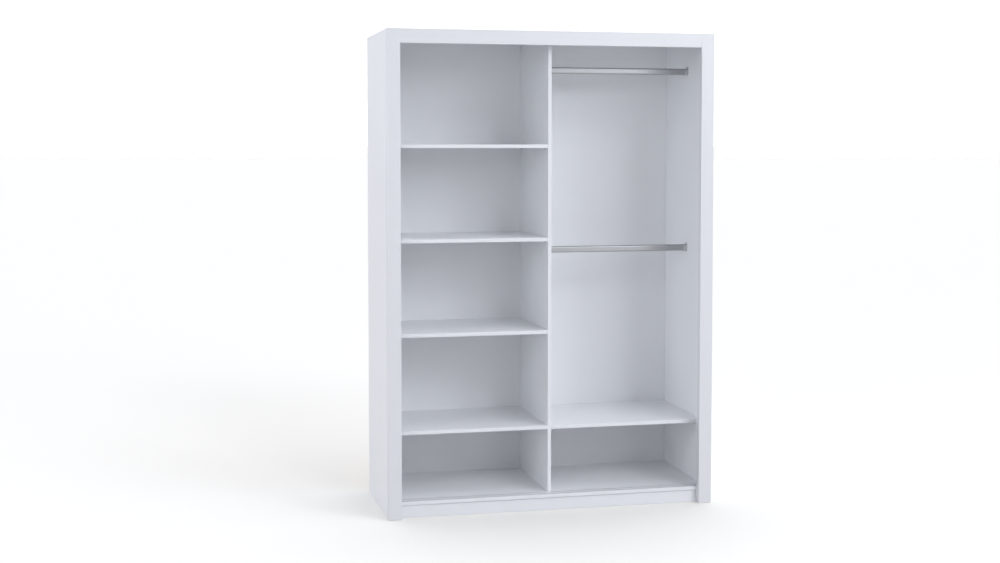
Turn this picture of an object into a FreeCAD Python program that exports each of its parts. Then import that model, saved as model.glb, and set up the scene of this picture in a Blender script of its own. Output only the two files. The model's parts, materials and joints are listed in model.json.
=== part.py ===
"""Open two-bay wardrobe carcass, made for sliding doors. Millimetres.

X runs to the right, +Y to the back, +Z up. The origin is on the floor, at the
centre of the footprint.
"""
import FreeCAD, Part
import os
from FreeCAD import Vector

# ---- driving dimensions -------------------------------------------------
WIDTH = 1500.0
DEPTH = 600.0
HEIGHT = 2150.0
BOARD = 16.0             # melamine-faced chipboard
BACK = 3.0               # hardboard back
GLIDE_HEIGHT = 1.5
EDGE_RADIUS = 0.6        # edging on the visible board edges

POST_WIDTH = 60.0        # front frame: two posts and a header
POST_DEPTH = 30.0
HEADER_DEPTH = 28.0
HEADER_HEIGHT = 63.0
FRAME_RADIUS = 1.5       # eased edges of the wrapped frame profiles
PLINTH_HEIGHT = 58.0
PLINTH_RECESS = 5.0      # the floor panel's edge overhangs the plinth by this
SEAM = {"tall": 2.5, "deep": 6.0}   # rebate along the plinth's top, a shadow line under the floor panel
BACK_GAP = 1.0           # between the two back panels
BACK_INSET = 2.0         # around them, inside the outline of the carcass

SHELF_SETBACK = 80.0     # divider and shelves, behind the face of the posts
LOW_SHELF_TOP = 377.0    # fixed shelf in each bay
TOP_SHELF_TOP = 1649.0
SHELF_PITCH = 419.0      # between the three loose shelves
SHELF_PLAY = 1.0         # gap around a loose shelf

RAIL_HEIGHTS = {"upper": 1992.0, "lower": 1161.0}
RAIL_Y = 5.0
RAIL_WIDE = 15.0         # oval tube
RAIL_TALL = 30.0
RAIL_WALL = 1.0
RAIL_GAP = 0.3           # running room in the supports
RAIL_END_GAP = 0.5
SUPPORT_SCREW_Z = (-7.0, 19.0)
FLANGE = {"wide": 24.0, "below": 18.0, "above": 23.0, "thick": 3.0}
CRADLE = {"wall": 2.0, "length": 14.0, "above": 9.0}

TRACK_OFFSETS = {"front": 43.0, "rear": 75.0}   # behind the face of the posts
TRACK_WIDE = 8.0
TRACK_WALL = 1.2
TRACK_DEPTH = {"bottom": 6.0, "top": 8.0}
TRACK_END_GAP = 1.0
TRACK_SCREW_X = (-660.0, -220.0, 220.0, 660.0)

CAM = {"r": 7.5, "deep": 12.5, "inset": 34.0, "slot_reach": 4.0, "slot_width": 1.4, "slot_deep": 2.5}
BOLT = {"r": 3.0, "thread_r": 2.5, "thread": 11.0}
DOWEL = {"r": 4.0, "short": 11.0, "long": 19.0}
CONFIRMAT = {"head_r": 5.0, "head": 3.0, "shank_r": 3.5, "thread_r": 2.5, "length": 50.0, "key": 2.3}
SCREW = {"r": 1.75, "head_r": 3.2, "head": 2.2, "length": 14.0}
TRACK_SCREW = {"r": 1.2, "head_r": 2.2, "head": 1.1, "length": 11.0}
SCREW_SLOT = {"reach": 0.62, "width": 0.7, "deep": 0.6}   # reach and depth are shares of the head's size
NAIL = {"r": 0.8, "head_r": 1.8, "head": 0.7, "length": 20.0}
PIN = {"r": 2.5, "deep": 9.0, "stem": 9.0, "below": 3.0}
TAB = {"wide": 10.0, "long": 12.0, "thick": 2.0, "corner": 4.0}
GLIDE = {"r": 7.5, "nail_r": 1.0, "nail": 14.0, "edge": 0.8}

# ---- where the fittings sit ---------------------------------------------
DOWEL_PITCH = 32.0                   # from a cam to the dowel beside it, in a board's end
LONG_DOWEL_PITCH = 60.0              # the same, along the front frame
PANEL_CAM_Y = (-200.0, 200.0)        # ends of the top and floor panels
LEFT_SHELF_CAM_Y = (-180.0, 240.0)   # fixed shelves, staggered so that
RIGHT_SHELF_CAM_Y = (-116.0, 176.0)  # the bolts don't meet in the divider
POST_CAM_Z = (150.0, 620.0, 1075.0, 1530.0, 2000.0)
HEADER_CAM_X = (120.0, 480.0)
HEADER_DOWEL_INSET = 15.0
BRACE_DOWEL_REACH = 14.0
DIVIDER_SCREW_Y = (-150.0, 45.0, 240.0)
NAIL_ROWS = {"first": 120.0, "pitch": 191.0, "count": 11}
NAIL_X = (190.0, 370.0, 550.0)
PIN_INSET = {"front": 37.0, "rear": 38.0}
SIDE_GLIDE_Y = (-220.0, 30.0, 280.0)
MIDDLE_GLIDE_Y = (-160.0, 190.0)

# ---- places worked out from them ----------------------------------------
FRONT = -DEPTH / 2
REAR = DEPTH / 2
CARCASS_FRONT = FRONT + POST_DEPTH
CARCASS_REAR = REAR - BACK
SHELF_FRONT = FRONT + SHELF_SETBACK
OUTER = WIDTH / 2
INNER = OUTER - BOARD
SIDE_MID = OUTER - BOARD / 2
FLOOR_TOP = PLINTH_HEIGHT + BOARD
CEILING = HEIGHT - BOARD
FLOOR_MID = FLOOR_TOP - BOARD / 2
TOP_MID = HEIGHT - BOARD / 2
HALF = BOARD / 2
LOW_SHELF_MID = LOW_SHELF_TOP - HALF
PLINTH_FRONT = CARCASS_FRONT + PLINTH_RECESS
PLINTH_BACK = PLINTH_FRONT + BOARD
REAR_PLINTH_FRONT = CARCASS_REAR - BOARD
PLINTH_MID_Z = (PLINTH_HEIGHT + GLIDE_HEIGHT) / 2
POST_X = OUTER - POST_WIDTH / 2
HEADER_FRONT = CARCASS_FRONT - HEADER_DEPTH
HEADER_BOTTOM = HEIGHT - HEADER_HEIGHT
LOOSE_SHELVES = {"upper": TOP_SHELF_TOP, "middle": TOP_SHELF_TOP - SHELF_PITCH,
                 "lower": TOP_SHELF_TOP - 2 * SHELF_PITCH}

X, Y, Z = Vector(1, 0, 0), Vector(0, 1, 0), Vector(0, 0, 1)


# ---- shape helpers ------------------------------------------------------
def board(x, y, z):
    """A square-edged board between two (low, high) pairs on each axis."""
    return Part.makeBox(x[1] - x[0], y[1] - y[0], z[1] - z[0], Vector(x[0], y[0], z[0]))


def rod(start, direction, radius, length):
    return Part.makeCylinder(radius, length, start, direction)


def rounded(shape, radius, wanted):
    """Rounds the edges whose bounding box passes the test."""
    edges = [edge for edge in shape.Edges if wanted(edge.BoundBox)]
    return shape.makeFillet(radius, edges)


def lies_on(box, axis, value):
    """True if an edge's box lies in the plane where the axis has this value."""
    low, high = getattr(box, axis + "Min"), getattr(box, axis + "Max")
    return abs(low - value) < 0.01 and abs(high - value) < 0.01


def eased(shape, axis, value, length):
    """Eases the long edges of the board face in the plane axis = value."""
    return rounded(shape, EDGE_RADIUS, lambda box: lies_on(box, axis, value) and box.DiagonalLength > length)


def stadium(half_width, low, high, x, thick):
    """A plate of thickness thick from x: straight sides along Z and round ends."""
    body = board((x, x + thick), (-half_width, half_width), (low + half_width, high - half_width))
    ends = [rod(Vector(x, 0, z), X, half_width, thick) for z in (low + half_width, high - half_width)]
    return body.fuse(ends).removeSplitter()


# ---- fasteners ----------------------------------------------------------
FASTENERS = {}           # name of the group: its separate solids
HOLES = []               # what is drilled away for them


def fasten(name, solid, recess=()):
    """Adds a fastener to its group, and its hole to the holes. A drive recess is cut only in the fastener."""
    solid = solid.removeSplitter()
    HOLES.append(solid)
    FASTENERS.setdefault(name, []).append(solid.cut(list(recess)) if recess else solid)


def cross_recess(point, direction, reach, width, deep):
    """Two crossed slots cut down from a screw's or cam's face."""
    slots = []
    for turn in (45, 135):
        slot = Part.makeBox(2 * reach, width, deep, Vector(-reach, -width / 2, 0))
        slot.rotate(Vector(0, 0, 0), Z, turn)
        slot.Placement = FreeCAD.Placement(point, FreeCAD.Rotation(Z, direction)).multiply(slot.Placement)
        slots.append(slot)
    return slots


def cam_joint(point, into, face):
    """A cam in a board's face draws in a bolt that is screwed into the other board.

    point is where the bolt crosses the joint, into points into the cam's board,
    and face is the normal of the board face that the cam is let into.
    """
    centre = point + into * CAM["inset"]
    mouth = centre + face * HALF
    bolt = rod(centre, into * -1, BOLT["r"], CAM["inset"])
    bolt = bolt.fuse(rod(point, into * -1, BOLT["thread_r"], BOLT["thread"]))
    fasten("cam_bolts", bolt)
    cam = rod(mouth, face * -1, CAM["r"], CAM["deep"])
    slots = cross_recess(mouth, face * -1, CAM["slot_reach"], CAM["slot_width"], CAM["slot_deep"])
    fasten("cam_locks", cam, [bolt] + slots)


def dowel(point, into):
    """A dowel across a joint: its short end in a board's face, its long end in a board's edge."""
    start = point - into * DOWEL["short"]
    fasten("dowels", rod(start, into, DOWEL["r"], DOWEL["short"] + DOWEL["long"]))


def countersunk(name, point, direction, size):
    """A cross-head screw whose flat head is flush at the point."""
    head = Part.makeCone(size["head_r"], size["r"], size["head"], point, direction)
    screw = head.fuse(rod(point, direction, size["r"], size["length"]))
    reach, deep = size["head_r"] * SCREW_SLOT["reach"], size["head"] * SCREW_SLOT["deep"]
    fasten(name, screw, cross_recess(point, direction, reach, SCREW_SLOT["width"], deep))


def confirmat(point, direction):
    """A carcass screw with a hexagon socket in its flush head."""
    shank = rod(point, direction, CONFIRMAT["shank_r"], BOARD)
    thread = rod(point, direction, CONFIRMAT["thread_r"], CONFIRMAT["length"])
    screw = rod(point, direction, CONFIRMAT["head_r"], CONFIRMAT["head"]).fuse([shank, thread])
    corners = [Vector(CONFIRMAT["key"], 0, 0)]
    rotation = FreeCAD.Rotation(Z, 60)
    for _ in range(5):
        corners.append(rotation.multVec(corners[-1]))
    socket = Part.Face(Part.makePolygon(corners + corners[:1])).extrude(Z * CONFIRMAT["head"])
    socket.Placement = FreeCAD.Placement(point, FreeCAD.Rotation(Z, direction))
    fasten("divider_screws", screw, [socket])


def back_nail(x, z):
    point = Vector(x, REAR, z)
    head = rod(point, Y * -1, NAIL["head_r"], NAIL["head"])
    fasten("back_panel_nails", head.fuse(rod(point, Y * -1, NAIL["r"], NAIL["length"])))


def shelf_pin(wall_x, inward, y, shelf_bottom):
    """A steel pin in the wall with a flat tab that the shelf lies on."""
    start = Vector(wall_x - inward * PIN["deep"], y, shelf_bottom - PIN["below"])
    stem = rod(start, X * inward, PIN["r"], PIN["deep"] + PIN["stem"])
    xs = sorted((wall_x, wall_x + inward * TAB["long"]))
    tab = board(xs, (y - TAB["wide"] / 2, y + TAB["wide"] / 2), (shelf_bottom - TAB["thick"], shelf_bottom))
    tip_x = wall_x + inward * TAB["long"]
    tab = rounded(tab, TAB["corner"], lambda box: box.ZLength > 1 and lies_on(box, "X", tip_x))
    fasten("shelf_pins", stem.fuse(tab))


def floor_glide(x, y):
    """A nail-on glide under a board's edge."""
    disc = rod(Vector(x, y, 0), Z, GLIDE["r"], GLIDE_HEIGHT)
    disc = rounded(disc, GLIDE["edge"], lambda box: lies_on(box, "Z", 0))
    fasten("floor_glides", disc.fuse(rod(Vector(x, y, 0), Z, GLIDE["nail_r"], GLIDE_HEIGHT + GLIDE["nail"])))


def shelf_end(wall_x, inward, mid_z, ys, face):
    """Two cams and two dowels between a horizontal board's end and a wall."""
    first, last = ys
    for y in (first, last):
        cam_joint(Vector(wall_x, y, mid_z), X * inward, face)
    for y in (first + DOWEL_PITCH, last - DOWEL_PITCH):
        dowel(Vector(wall_x, y, mid_z), X * inward)


def place_joint_fittings():
    """Cams, bolts and dowels that hold the boards together."""
    for side in (-1, 1):
        wall = side * INNER
        shelf_end(wall, -side, TOP_MID, PANEL_CAM_Y, Z)
        shelf_end(wall, -side, FLOOR_MID, PANEL_CAM_Y, Z * -1)
        for y, face in ((PLINTH_FRONT + HALF, Y), (CARCASS_REAR - HALF, Y * -1)):
            cam_joint(Vector(wall, y, PLINTH_MID_Z), X * -side, face)
        for z in POST_CAM_Z:
            cam_joint(Vector(side * SIDE_MID, CARCASS_FRONT, z), Y, X * -side)
            dowel(Vector(side * SIDE_MID, CARCASS_FRONT, z + LONG_DOWEL_PITCH), Y)
        for z in (HEADER_BOTTOM + HEADER_DOWEL_INSET, HEIGHT - HEADER_DOWEL_INSET):
            dowel(Vector(side * (OUTER - POST_WIDTH), CARCASS_FRONT - HEADER_DEPTH / 2, z), X * -side)
        for x in HEADER_CAM_X:
            cam_joint(Vector(side * x, CARCASS_FRONT, TOP_MID), Y, Z)
            dowel(Vector(side * (x + LONG_DOWEL_PITCH), CARCASS_FRONT, TOP_MID), Y)
    shelf_end(-INNER, 1, LOW_SHELF_MID, LEFT_SHELF_CAM_Y, Z * -1)
    shelf_end(-HALF, -1, LOW_SHELF_MID, LEFT_SHELF_CAM_Y, Z * -1)
    shelf_end(HALF, 1, LOW_SHELF_MID, RIGHT_SHELF_CAM_Y, Z * -1)
    shelf_end(INNER, -1, LOW_SHELF_MID, RIGHT_SHELF_CAM_Y, Z * -1)
    for z in (PLINTH_MID_Z - BRACE_DOWEL_REACH, PLINTH_MID_Z + BRACE_DOWEL_REACH):
        dowel(Vector(0, PLINTH_BACK, z), Y)
        dowel(Vector(0, REAR_PLINTH_FRONT, z), Y * -1)
    for y in DIVIDER_SCREW_Y:
        confirmat(Vector(0, y, HEIGHT), Z * -1)
        confirmat(Vector(0, y, PLINTH_HEIGHT), Z)


def place_back_nails():
    for side in (-1, 1):
        for row in range(NAIL_ROWS["count"]):
            for x in (SIDE_MID, HALF / 2):
                back_nail(side * x, NAIL_ROWS["first"] + NAIL_ROWS["pitch"] * row)
        for x in NAIL_X:
            for z in (FLOOR_MID, LOW_SHELF_MID, TOP_MID):
                back_nail(side * x, z)


def place_pins_and_glides():
    for top in LOOSE_SHELVES.values():
        for y in (SHELF_FRONT + PIN_INSET["front"], CARCASS_REAR - PIN_INSET["rear"]):
            shelf_pin(-INNER, 1, y, top - BOARD)
            shelf_pin(-HALF, -1, y, top - BOARD)
    for side in (-1, 1):
        floor_glide(side * POST_X, CARCASS_FRONT - POST_DEPTH / 2)
        for y in SIDE_GLIDE_Y:
            floor_glide(side * SIDE_MID, y)
    for y in MIDDLE_GLIDE_Y:
        floor_glide(0, y)


# ---- boards -------------------------------------------------------------
def side_panel(side):
    xs = sorted((side * INNER, side * OUTER))
    panel = board(xs, (CARCASS_FRONT, CARCASS_REAR), (GLIDE_HEIGHT, HEIGHT))
    return eased(panel, "Z", HEIGHT, DEPTH / 2)


def front_post(side):
    xs = sorted((side * (OUTER - POST_WIDTH), side * OUTER))
    post = board(xs, (FRONT, CARCASS_FRONT), (GLIDE_HEIGHT, HEIGHT))
    return rounded(post, FRAME_RADIUS, lambda box: box.ZLength > POST_WIDTH and lies_on(box, "Y", FRONT))


def header():
    half_length = OUTER - POST_WIDTH
    rail = board((-half_length, half_length), (HEADER_FRONT, CARCASS_FRONT), (HEADER_BOTTOM, HEIGHT))
    return rounded(rail, FRAME_RADIUS, lambda box: box.XLength > half_length
                   and lies_on(box, "Y", HEADER_FRONT))


def back_panel(side):
    xs = sorted((side * BACK_GAP / 2, side * (OUTER - BACK_INSET)))
    return board(xs, (CARCASS_REAR, REAR), (GLIDE_HEIGHT + BACK_INSET, HEIGHT - BACK_INSET))


def shelf(xs, top, rear=CARCASS_REAR):
    return eased(board(xs, (SHELF_FRONT, rear), (top - BOARD, top)), "Y", SHELF_FRONT, BOARD)


def bottom_panel():
    panel = board((-INNER, INNER), (CARCASS_FRONT, CARCASS_REAR), (PLINTH_HEIGHT, FLOOR_TOP))
    panel = eased(panel, "Y", CARCASS_FRONT, BOARD)
    return panel.cut([track_blank("bottom", offset, INNER) for offset in TRACK_OFFSETS.values()])


def front_plinth(z):
    plinth = board((-INNER, INNER), (PLINTH_FRONT, PLINTH_BACK), z)
    seam_y = (PLINTH_FRONT, PLINTH_FRONT + SEAM["deep"])
    return plinth.cut(board((-INNER, INNER), seam_y, (z[1] - SEAM["tall"], z[1])))


def build_boards():
    divider = board((-HALF, HALF), (SHELF_FRONT, CARCASS_REAR), (FLOOR_TOP, CEILING))
    plinth_z = (GLIDE_HEIGHT, PLINTH_HEIGHT)
    parts = {
        "top_panel": board((-INNER, INNER), (CARCASS_FRONT, CARCASS_REAR), (CEILING, HEIGHT)),
        "bottom_panel": bottom_panel(),
        "centre_divider": eased(divider, "Y", SHELF_FRONT, BOARD),
        "front_plinth": front_plinth(plinth_z),
        "rear_plinth": board((-INNER, INNER), (REAR_PLINTH_FRONT, CARCASS_REAR), plinth_z),
        "plinth_brace": board((-HALF, HALF), (PLINTH_BACK, REAR_PLINTH_FRONT), plinth_z),
        "header_rail": header(),
        "shelf_left_fixed": shelf((-INNER, -HALF), LOW_SHELF_TOP),
        "shelf_right_fixed": shelf((HALF, INNER), LOW_SHELF_TOP),
    }
    for name, side in (("left", -1), ("right", 1)):
        parts["side_panel_" + name] = side_panel(side)
        parts["front_post_" + name] = front_post(side)
        parts["back_panel_" + name] = back_panel(side)
    for name, top in LOOSE_SHELVES.items():
        xs = (SHELF_PLAY - INNER, -HALF - SHELF_PLAY)
        parts["shelf_left_" + name] = shelf(xs, top, CARCASS_REAR - SHELF_PLAY)
    return parts


# ---- door tracks --------------------------------------------------------
def track_blank(place, offset, half_length):
    """The solid bar that a guide track is made from, in its place."""
    y = FRONT + offset
    low, high = (FLOOR_TOP - TRACK_DEPTH["bottom"], FLOOR_TOP)
    if place == "top":
        low, high = (CEILING - TRACK_DEPTH["top"], CEILING)
    return board((-half_length, half_length), (y - TRACK_WIDE / 2, y + TRACK_WIDE / 2), (low, high))


def guide_track(place, offset):
    """A U-shaped track: open upwards in the floor, downwards under the top."""
    bar = track_blank(place, offset, INNER - TRACK_END_GAP)
    box = bar.BoundBox
    low, high = (box.ZMin + TRACK_WALL, box.ZMax)
    if place == "top":
        low, high = (box.ZMin, box.ZMax - TRACK_WALL)
    groove = board((box.XMin, box.XMax), (box.YMin + TRACK_WALL, box.YMax - TRACK_WALL), (low, high))
    if place == "top":
        for x in TRACK_SCREW_X:
            countersunk("top_track_screws", Vector(x, FRONT + offset, high), Z, TRACK_SCREW)
    return bar.cut(groove)


# ---- hanging rails ------------------------------------------------------
def rail_support(side, height):
    """A cast flange with an open-topped cradle, on a bay's left (-1) or right (+1) wall."""
    wall_x, inward = (HALF, 1) if side < 0 else (INNER, -1)
    flange = stadium(FLANGE["wide"] / 2, -FLANGE["below"], FLANGE["above"], 0, FLANGE["thick"])
    inner_r = RAIL_WIDE / 2 + RAIL_GAP
    outer_r = inner_r + CRADLE["wall"]
    below = RAIL_TALL / 2 + RAIL_GAP
    start = FLANGE["thick"]
    outer = stadium(outer_r, -below - CRADLE["wall"], below + outer_r, start, CRADLE["length"])
    inner = stadium(inner_r, -below, below + outer_r + inner_r, start, CRADLE["length"])
    cut_z = (CRADLE["above"], 2 * below + outer_r)
    above = board((start, start + CRADLE["length"]), (-outer_r, outer_r), cut_z)
    support = flange.fuse(outer.cut([inner, above])).removeSplitter()
    if inward < 0:
        support = support.mirror(Vector(0, 0, 0), X)
    support.translate(Vector(wall_x, RAIL_Y, height))
    face_x = wall_x + inward * FLANGE["thick"]
    for z in SUPPORT_SCREW_Z:
        countersunk("rail_support_screws", Vector(face_x, RAIL_Y, height + z), X * -inward, SCREW)
    return support


def hanging_rail(height):
    start = HALF + FLANGE["thick"] + RAIL_END_GAP
    length = INNER - FLANGE["thick"] - RAIL_END_GAP - start
    tube = stadium(RAIL_WIDE / 2, -RAIL_TALL / 2, RAIL_TALL / 2, start, length)
    bore_half = RAIL_WIDE / 2 - RAIL_WALL
    tube = tube.cut(stadium(bore_half, RAIL_WALL - RAIL_TALL / 2, RAIL_TALL / 2 - RAIL_WALL, start, length))
    tube.translate(Vector(0, RAIL_Y, height))
    return tube


def build_fittings():
    parts = {}
    for place in TRACK_DEPTH:
        for name, offset in TRACK_OFFSETS.items():
            parts[place + "_track_" + name] = guide_track(place, offset)
    for level, height in RAIL_HEIGHTS.items():
        parts["hanging_rail_" + level] = hanging_rail(height)
        for name, side in (("left", -1), ("right", 1)):
            parts["rail_support_%s_%s" % (level, name)] = rail_support(side, height)
    return parts


# ---- assembly -----------------------------------------------------------
def drilled(part):
    """Cuts away the hole of every fastener that reaches into this part."""
    tools = [hole for hole in HOLES if hole.BoundBox.intersect(part.BoundBox)]
    return part.cut(tools) if tools else part


def main():
    os.makedirs("parts", exist_ok=True)
    parts = build_boards()
    parts.update(build_fittings())
    place_joint_fittings()
    place_back_nails()
    place_pins_and_glides()
    for name, part in parts.items():
        drilled(part).exportStep("parts/%s.step" % name)
    for name, group in FASTENERS.items():
        Part.makeCompound(group).exportStep("parts/%s.step" % name)


main()
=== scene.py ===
"""Looks of the white two-bay wardrobe carcass: materials, studio and camera."""

import json
import math

import bpy
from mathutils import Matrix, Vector

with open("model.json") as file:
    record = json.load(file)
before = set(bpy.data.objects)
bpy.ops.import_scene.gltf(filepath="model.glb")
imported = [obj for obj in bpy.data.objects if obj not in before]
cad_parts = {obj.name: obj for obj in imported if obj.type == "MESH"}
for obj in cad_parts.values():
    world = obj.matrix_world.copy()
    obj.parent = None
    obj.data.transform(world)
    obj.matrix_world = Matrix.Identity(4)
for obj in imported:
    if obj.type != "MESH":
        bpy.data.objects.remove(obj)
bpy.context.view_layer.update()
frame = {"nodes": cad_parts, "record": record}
NODES = frame["nodes"]

# Camera: place in metres, turn to the right, tilt down, lens in mm and shift
CAMERA_AT = (-1.730, -6.667, 1.638)
CAMERA_YAW = math.radians(-13.10)
CAMERA_PITCH = math.radians(-3.26)
CAMERA_LENS = 53.44
CAMERA_SHIFT_Y = -0.05
CAMERA_REACH = 200.0

# Studio floor: half its side in metres, and its colour, which balances the cool light
FLOOR_HALF = 300.0
FLOOR_COLOUR = (0.965, 0.95, 0.90, 1)

# Light that comes from afar, as windows in the world around the object: azimuths in degrees,
# 0 in front and 90 at the right, sines of the lowest and highest elevation, and radiance
SKY_WINDOWS = (
    ("key", 8, 36, 0.1, 0.5, 2.1),
    ("left", -90, -30, 0.0, 0.5, 1.7),
    ("right", 30, 90, 0.5, 0.87, 2.2),
    ("behind", 90, 270, 0.0, 0.87, 1.35),
    ("overhead", -180, 180, 0.87, 1.0, 0.8),
    ("ground_front", -60, 60, -1.0, 0.0, 0.47),
    ("ground_right", 60, 120, -1.0, 0.0, 0.65),
    ("ground_behind", 120, 240, -1.0, 0.0, 0.55),
)
# Sun: direction towards it, angle in degrees, strength
SUN_TOWARDS = (0.24, -0.82, 0.53)
SUN_ANGLE = 12
SUN_STRENGTH = 0.22
# Soft boxes: place, diameter, power
SOFT_BOXES = (
    ("fill_right", (3.0, -4.0, 3.0), 2.0, 40),
    ("fill_middle", (1.0, -2.6, 2.4), 1.0, 3),
    ("fill_left", (-1.5, -2.6, 2.2), 1.0, 5),
)
SOFT_BOX_TARGET = (0, 0, 1.2)
# The cool colour of all the light
LIGHT_TINT = (0.98, 1.0, 1.065)

# Colours: the white boards, the frame's foil as a share of that white, kept darker as painted shade
# against the light on the front frame, and the darkest and lightest of the pressed fibre, the beech and
# the glides
WHITE = (0.935, 0.945, 0.957)
FOIL_PAINTED_SHADE = 0.93
FIBRE_DARK = (0.20, 0.115, 0.055)
FIBRE_LIGHT = (0.36, 0.225, 0.12)
BEECH_DARK = (0.42, 0.26, 0.13)
BEECH_LIGHT = (0.60, 0.41, 0.23)
GLIDE_DARK = (0.56, 0.56, 0.56)
GLIDE_LIGHT = (0.62, 0.62, 0.62)

# How many noise features there are to a metre
CLOUDS = 3.0
PEARL = 650.0
FOIL_GRAIN = 420.0
FIBRE = 260.0


# ---- node helpers ---------------------------------------------------------
def new_material(name):
    """An empty node material: the material, its node tree, and its shader."""
    material = bpy.data.materials.new(name)
    material.use_nodes = True
    tree = material.node_tree
    tree.nodes.clear()
    output = tree.nodes.new("ShaderNodeOutputMaterial")
    shader = tree.nodes.new("ShaderNodeBsdfPrincipled")
    tree.links.new(shader.outputs["BSDF"], output.inputs["Surface"])
    return material, tree, shader


def node(tree, kind, inputs=None, **settings):
    """Adds a node, sets its properties, and links or sets its inputs."""
    made = tree.nodes.new("ShaderNode" + kind)
    for key, value in settings.items():
        setattr(made, key, value)
    for key, value in (inputs or {}).items():
        if isinstance(value, bpy.types.NodeSocket):
            tree.links.new(value, made.inputs[key])
        else:
            made.inputs[key].default_value = value
    return made


def object_position(tree, scale=(1, 1, 1)):
    coords = node(tree, "TexCoord")
    mapping = node(tree, "Mapping", {"Vector": coords.outputs["Object"], "Scale": scale})
    return mapping.outputs["Vector"]


def noise(tree, position, scale, detail=2.0, roughness=0.5):
    made = node(tree, "TexNoise", {"Vector": position, "Scale": scale, "Detail": detail,
                                   "Roughness": roughness})
    return made.outputs["Fac"]


def shade_between(tree, factor, dark, light):
    ramp = node(tree, "ValToRGB", {"Fac": factor})
    ramp.color_ramp.elements[0].color = (*dark, 1)
    ramp.color_ramp.elements[1].color = (*light, 1)
    return ramp.outputs["Color"]


def mixed(tree, factor, first, second):
    """The first colour where the factor is 0, and the second where it is 1."""
    made = node(tree, "Mix", {"Factor": factor, "A": first, "B": second}, data_type="RGBA")
    return made.outputs[2]


def map_range(tree, value, low, high):
    made = node(tree, "MapRange", {"Value": value, "To Min": low, "To Max": high})
    return made.outputs["Result"]


def bump(tree, shader, height, distance):
    """Relief on the shader's normal, as deep as the distance in metres."""
    made = node(tree, "Bump", {"Height": height, "Distance": distance, "Strength": 1.0})
    tree.links.new(made.outputs["Normal"], shader.inputs["Normal"])


# ---- materials ------------------------------------------------------------
def tinted(base, factor):
    return tuple(c * factor for c in base)


def melamine():
    """White melamine: a fine pearl texture and a barely visible unevenness of tone."""
    material, tree, shader = new_material("white_melamine")
    pearl = noise(tree, object_position(tree), PEARL, detail=3.0, roughness=0.6)
    clouds = noise(tree, object_position(tree), CLOUDS)
    colour = shade_between(tree, clouds, tinted(WHITE, 0.985), WHITE)
    tree.links.new(colour, shader.inputs["Base Color"])
    tree.links.new(map_range(tree, pearl, 0.36, 0.50), shader.inputs["Roughness"])
    shader.inputs["Specular IOR Level"].default_value = 0.4
    bump(tree, shader, pearl, distance=0.00006)
    return material


def wrapped_profile():
    """White foil over the frame profiles, darkened as painted shade, smoother than the boards, its grain
    drawn out upwards.
    """
    material, tree, shader = new_material("white_foil")
    grain = noise(tree, object_position(tree, (1.0, 1.0, 0.12)), FOIL_GRAIN)
    # painted shade: the foil's white is made darker than the boards' white to offset the light on the
    # front frame
    foil = tinted(WHITE, FOIL_PAINTED_SHADE)
    colour = shade_between(tree, grain, tinted(foil, 0.99), foil)
    tree.links.new(colour, shader.inputs["Base Color"])
    tree.links.new(map_range(tree, grain, 0.30, 0.40), shader.inputs["Roughness"])
    bump(tree, shader, grain, distance=0.00004)
    return material


def hardboard():
    """White lacquer on the face inside, brown pressed fibre on the face at the back."""
    material, tree, shader = new_material("hardboard")
    normal = node(tree, "NewGeometry").outputs["Normal"]
    facing = node(tree, "SeparateXYZ", {"Vector": normal}).outputs["Y"]
    outside = node(tree, "Math", {0: facing, 1: 0.5}, operation="GREATER_THAN").outputs[0]
    fibre = noise(tree, object_position(tree), FIBRE, detail=6.0, roughness=0.7)
    brown = shade_between(tree, fibre, FIBRE_DARK, FIBRE_LIGHT)
    clouds = noise(tree, object_position(tree), CLOUDS)
    white = shade_between(tree, clouds, tinted(WHITE, 0.975), tinted(WHITE, 0.99))
    tree.links.new(mixed(tree, outside, white, brown), shader.inputs["Base Color"])
    tree.links.new(map_range(tree, outside, 0.5, 0.8), shader.inputs["Roughness"])
    bump(tree, shader, fibre, distance=0.00012)
    return material


def metal(name, base, roughness, stretch=(1, 1, 1), scale=500.0, depth=0.00002):
    """A bare or plated metal with fine marks, drawn out along an axis by stretch."""
    material, tree, shader = new_material(name)
    marks = noise(tree, object_position(tree, stretch), scale, 4.0)
    tree.links.new(shade_between(tree, marks, tinted(base, 0.92), base), shader.inputs["Base Color"])
    shader.inputs["Metallic"].default_value = 1.0
    tree.links.new(map_range(tree, marks, roughness * 0.85, roughness * 1.15), shader.inputs["Roughness"])
    bump(tree, shader, marks, depth)
    return material


def beech():
    material, tree, shader = new_material("beech")
    grain = noise(tree, object_position(tree, (0.3, 1, 1)), 400.0, 4.0)
    tree.links.new(shade_between(tree, grain, BEECH_DARK, BEECH_LIGHT), shader.inputs["Base Color"])
    shader.inputs["Roughness"].default_value = 0.7
    bump(tree, shader, grain, distance=0.0002)
    return material


def glide_plastic():
    material, tree, shader = new_material("glide_plastic")
    speckle = noise(tree, object_position(tree), 900.0)
    tree.links.new(shade_between(tree, speckle, GLIDE_DARK, GLIDE_LIGHT), shader.inputs["Base Color"])
    shader.inputs["Roughness"].default_value = 0.55
    bump(tree, shader, speckle, distance=0.00005)
    return material


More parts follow.
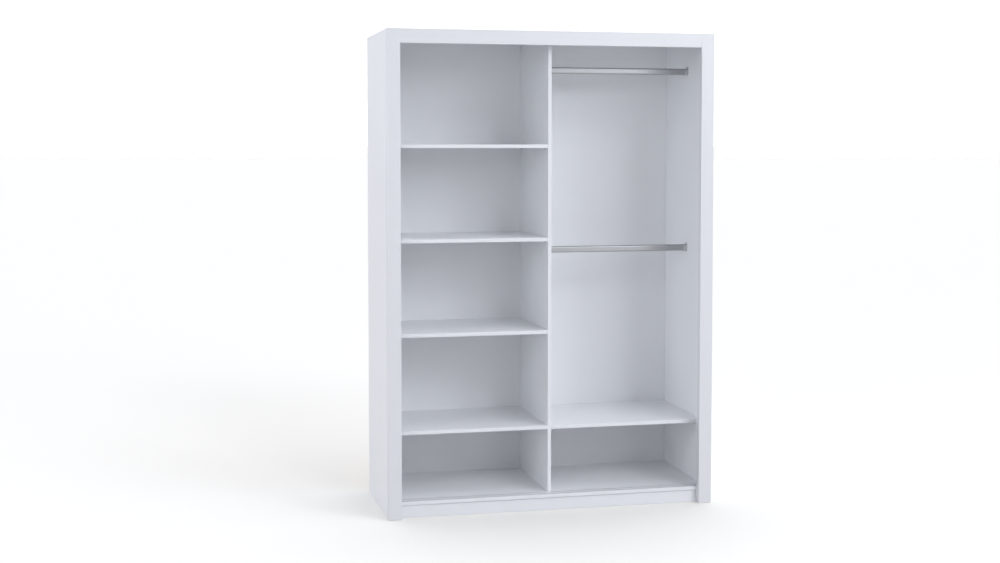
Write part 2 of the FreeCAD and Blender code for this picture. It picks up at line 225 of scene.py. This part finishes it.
def dress_nodes():
    """Gives every CAD node the material of its slot in the record."""
    by_slot = {
        "melamine": melamine(),
        "foil_wrapped_frame": wrapped_profile(),
        "hardboard": hardboard(),
        "track": metal("satin_aluminium", (0.80, 0.81, 0.82), roughness=0.38, stretch=(0.05, 1, 1)),
        "rail_tube": metal("satin_aluminium_tube", (0.43, 0.44, 0.45), roughness=0.42,
                           stretch=(0.03, 1, 1), scale=900.0),
        "cast_zinc": metal("cast_zinc", (0.60, 0.61, 0.62), roughness=0.42, depth=0.00006),
        "zinc_plated_steel": metal("zinc_plated_steel", (0.62, 0.63, 0.65), roughness=0.3),
        "beech": beech(),
        "glide_plastic": glide_plastic(),
    }
    for part in frame["record"]["subparts"]:
        slots = NODES[part["node"]].data.materials
        slots.clear()
        slots.append(by_slot[part["material_slot"]])


# ---- studio ---------------------------------------------------------------
def link(thing):
    bpy.context.scene.collection.objects.link(thing)
    return thing


def studio_floor():
    """A white floor, which shows the object's shadow but neither lights nor shades the object."""
    mesh = bpy.data.meshes.new("studio_floor")
    corners = [(x * FLOOR_HALF, y * FLOOR_HALF, 0) for x, y in ((-1, -1), (1, -1), (1, 1), (-1, 1))]
    mesh.from_pydata(corners, [], [(0, 1, 2, 3)])
    floor = link(bpy.data.objects.new("studio_floor", mesh))
    material, tree, shader = new_material("studio_floor")
    shader.inputs["Base Color"].default_value = FLOOR_COLOUR
    shader.inputs["Roughness"].default_value = 0.9
    shader.inputs["Specular IOR Level"].default_value = 0.1
    mesh.materials.append(material)
    floor.visible_diffuse = False
    floor.visible_shadow = False


def soft_box(name, at, size, power):
    data = bpy.data.lights.new(name, "AREA")
    data.shape = "DISK"
    data.size = size
    data.energy = power
    data.color = LIGHT_TINT
    light = link(bpy.data.objects.new(name, data))
    light.location = at
    light.rotation_euler = (Vector(at) - Vector(SOFT_BOX_TARGET)).to_track_quat("Z", "Y").to_euler()
    light.visible_camera = False


def sun():
    data = bpy.data.lights.new("sun", "SUN")
    data.angle = math.radians(SUN_ANGLE)
    data.energy = SUN_STRENGTH
    data.color = LIGHT_TINT
    light = link(bpy.data.objects.new("sun", data))
    light.rotation_euler = Vector(SUN_TOWARDS).to_track_quat("Z", "Y").to_euler()


def sky_window(tree, direction, first, last, low, high, radiance):
    """Radiance inside a window of the world, and none outside it."""
    def math_node(operation, a, b=0.0):
        return node(tree, "Math", {0: a, 1: b}, operation=operation).outputs[0]

    middle = math.radians((first + last) / 2)
    half = math.radians((last - first) / 2)
    along = node(tree, "VectorMath", {0: direction, 1: (math.sin(middle), -math.cos(middle), 0)},
                 operation="DOT_PRODUCT").outputs["Value"]
    across = node(tree, "VectorMath", {0: direction, 1: (math.cos(middle), math.sin(middle), 0)},
                  operation="DOT_PRODUCT").outputs["Value"]
    height = node(tree, "SeparateXYZ", {"Vector": direction}).outputs["Z"]
    turned = math_node("ABSOLUTE", math_node("ARCTAN2", across, along))
    inside = math_node("LESS_THAN", turned, half + 0.0001)
    inside = math_node("MULTIPLY", inside, math_node("GREATER_THAN", height, low))
    inside = math_node("MULTIPLY", inside, math_node("LESS_THAN", height, high + 0.0001))
    return math_node("MULTIPLY", inside, radiance)


def studio_world():
    """White to the camera, and lit through its windows for everything else."""
    world = bpy.data.worlds.new("studio")
    world.use_nodes = True
    tree = world.node_tree
    background = tree.nodes["Background"]
    direction = node(tree, "TexCoord").outputs["Generated"]
    light = 0.0
    for _name, *window in SKY_WINDOWS:
        window_light = sky_window(tree, direction, *window)
        light = node(tree, "Math", {0: light, 1: window_light}, operation="ADD").outputs[0]
    seen = node(tree, "LightPath").outputs["Is Camera Ray"]
    strength = node(tree, "Math", {0: light, 1: seen}, operation="MAXIMUM").outputs[0]
    colour = mixed(tree, seen, (*LIGHT_TINT, 1), (1, 1, 1, 1))
    tree.links.new(colour, background.inputs["Color"])
    tree.links.new(strength, background.inputs["Strength"])
    bpy.context.scene.world = world


def camera():
    data = bpy.data.cameras.new("camera")
    data.lens = CAMERA_LENS
    data.shift_y = CAMERA_SHIFT_Y
    data.clip_end = CAMERA_REACH
    made = bpy.data.objects.new("camera", data)
    made.location = CAMERA_AT
    made.rotation_euler = (math.pi / 2 + CAMERA_PITCH, 0, CAMERA_YAW)
    bpy.context.scene.camera = link(made)


dress_nodes()
studio_floor()
studio_world()
sun()
for settings in SOFT_BOXES:
    soft_box(*settings)
camera()
bpy.context.scene.view_settings.view_transform = "Standard"
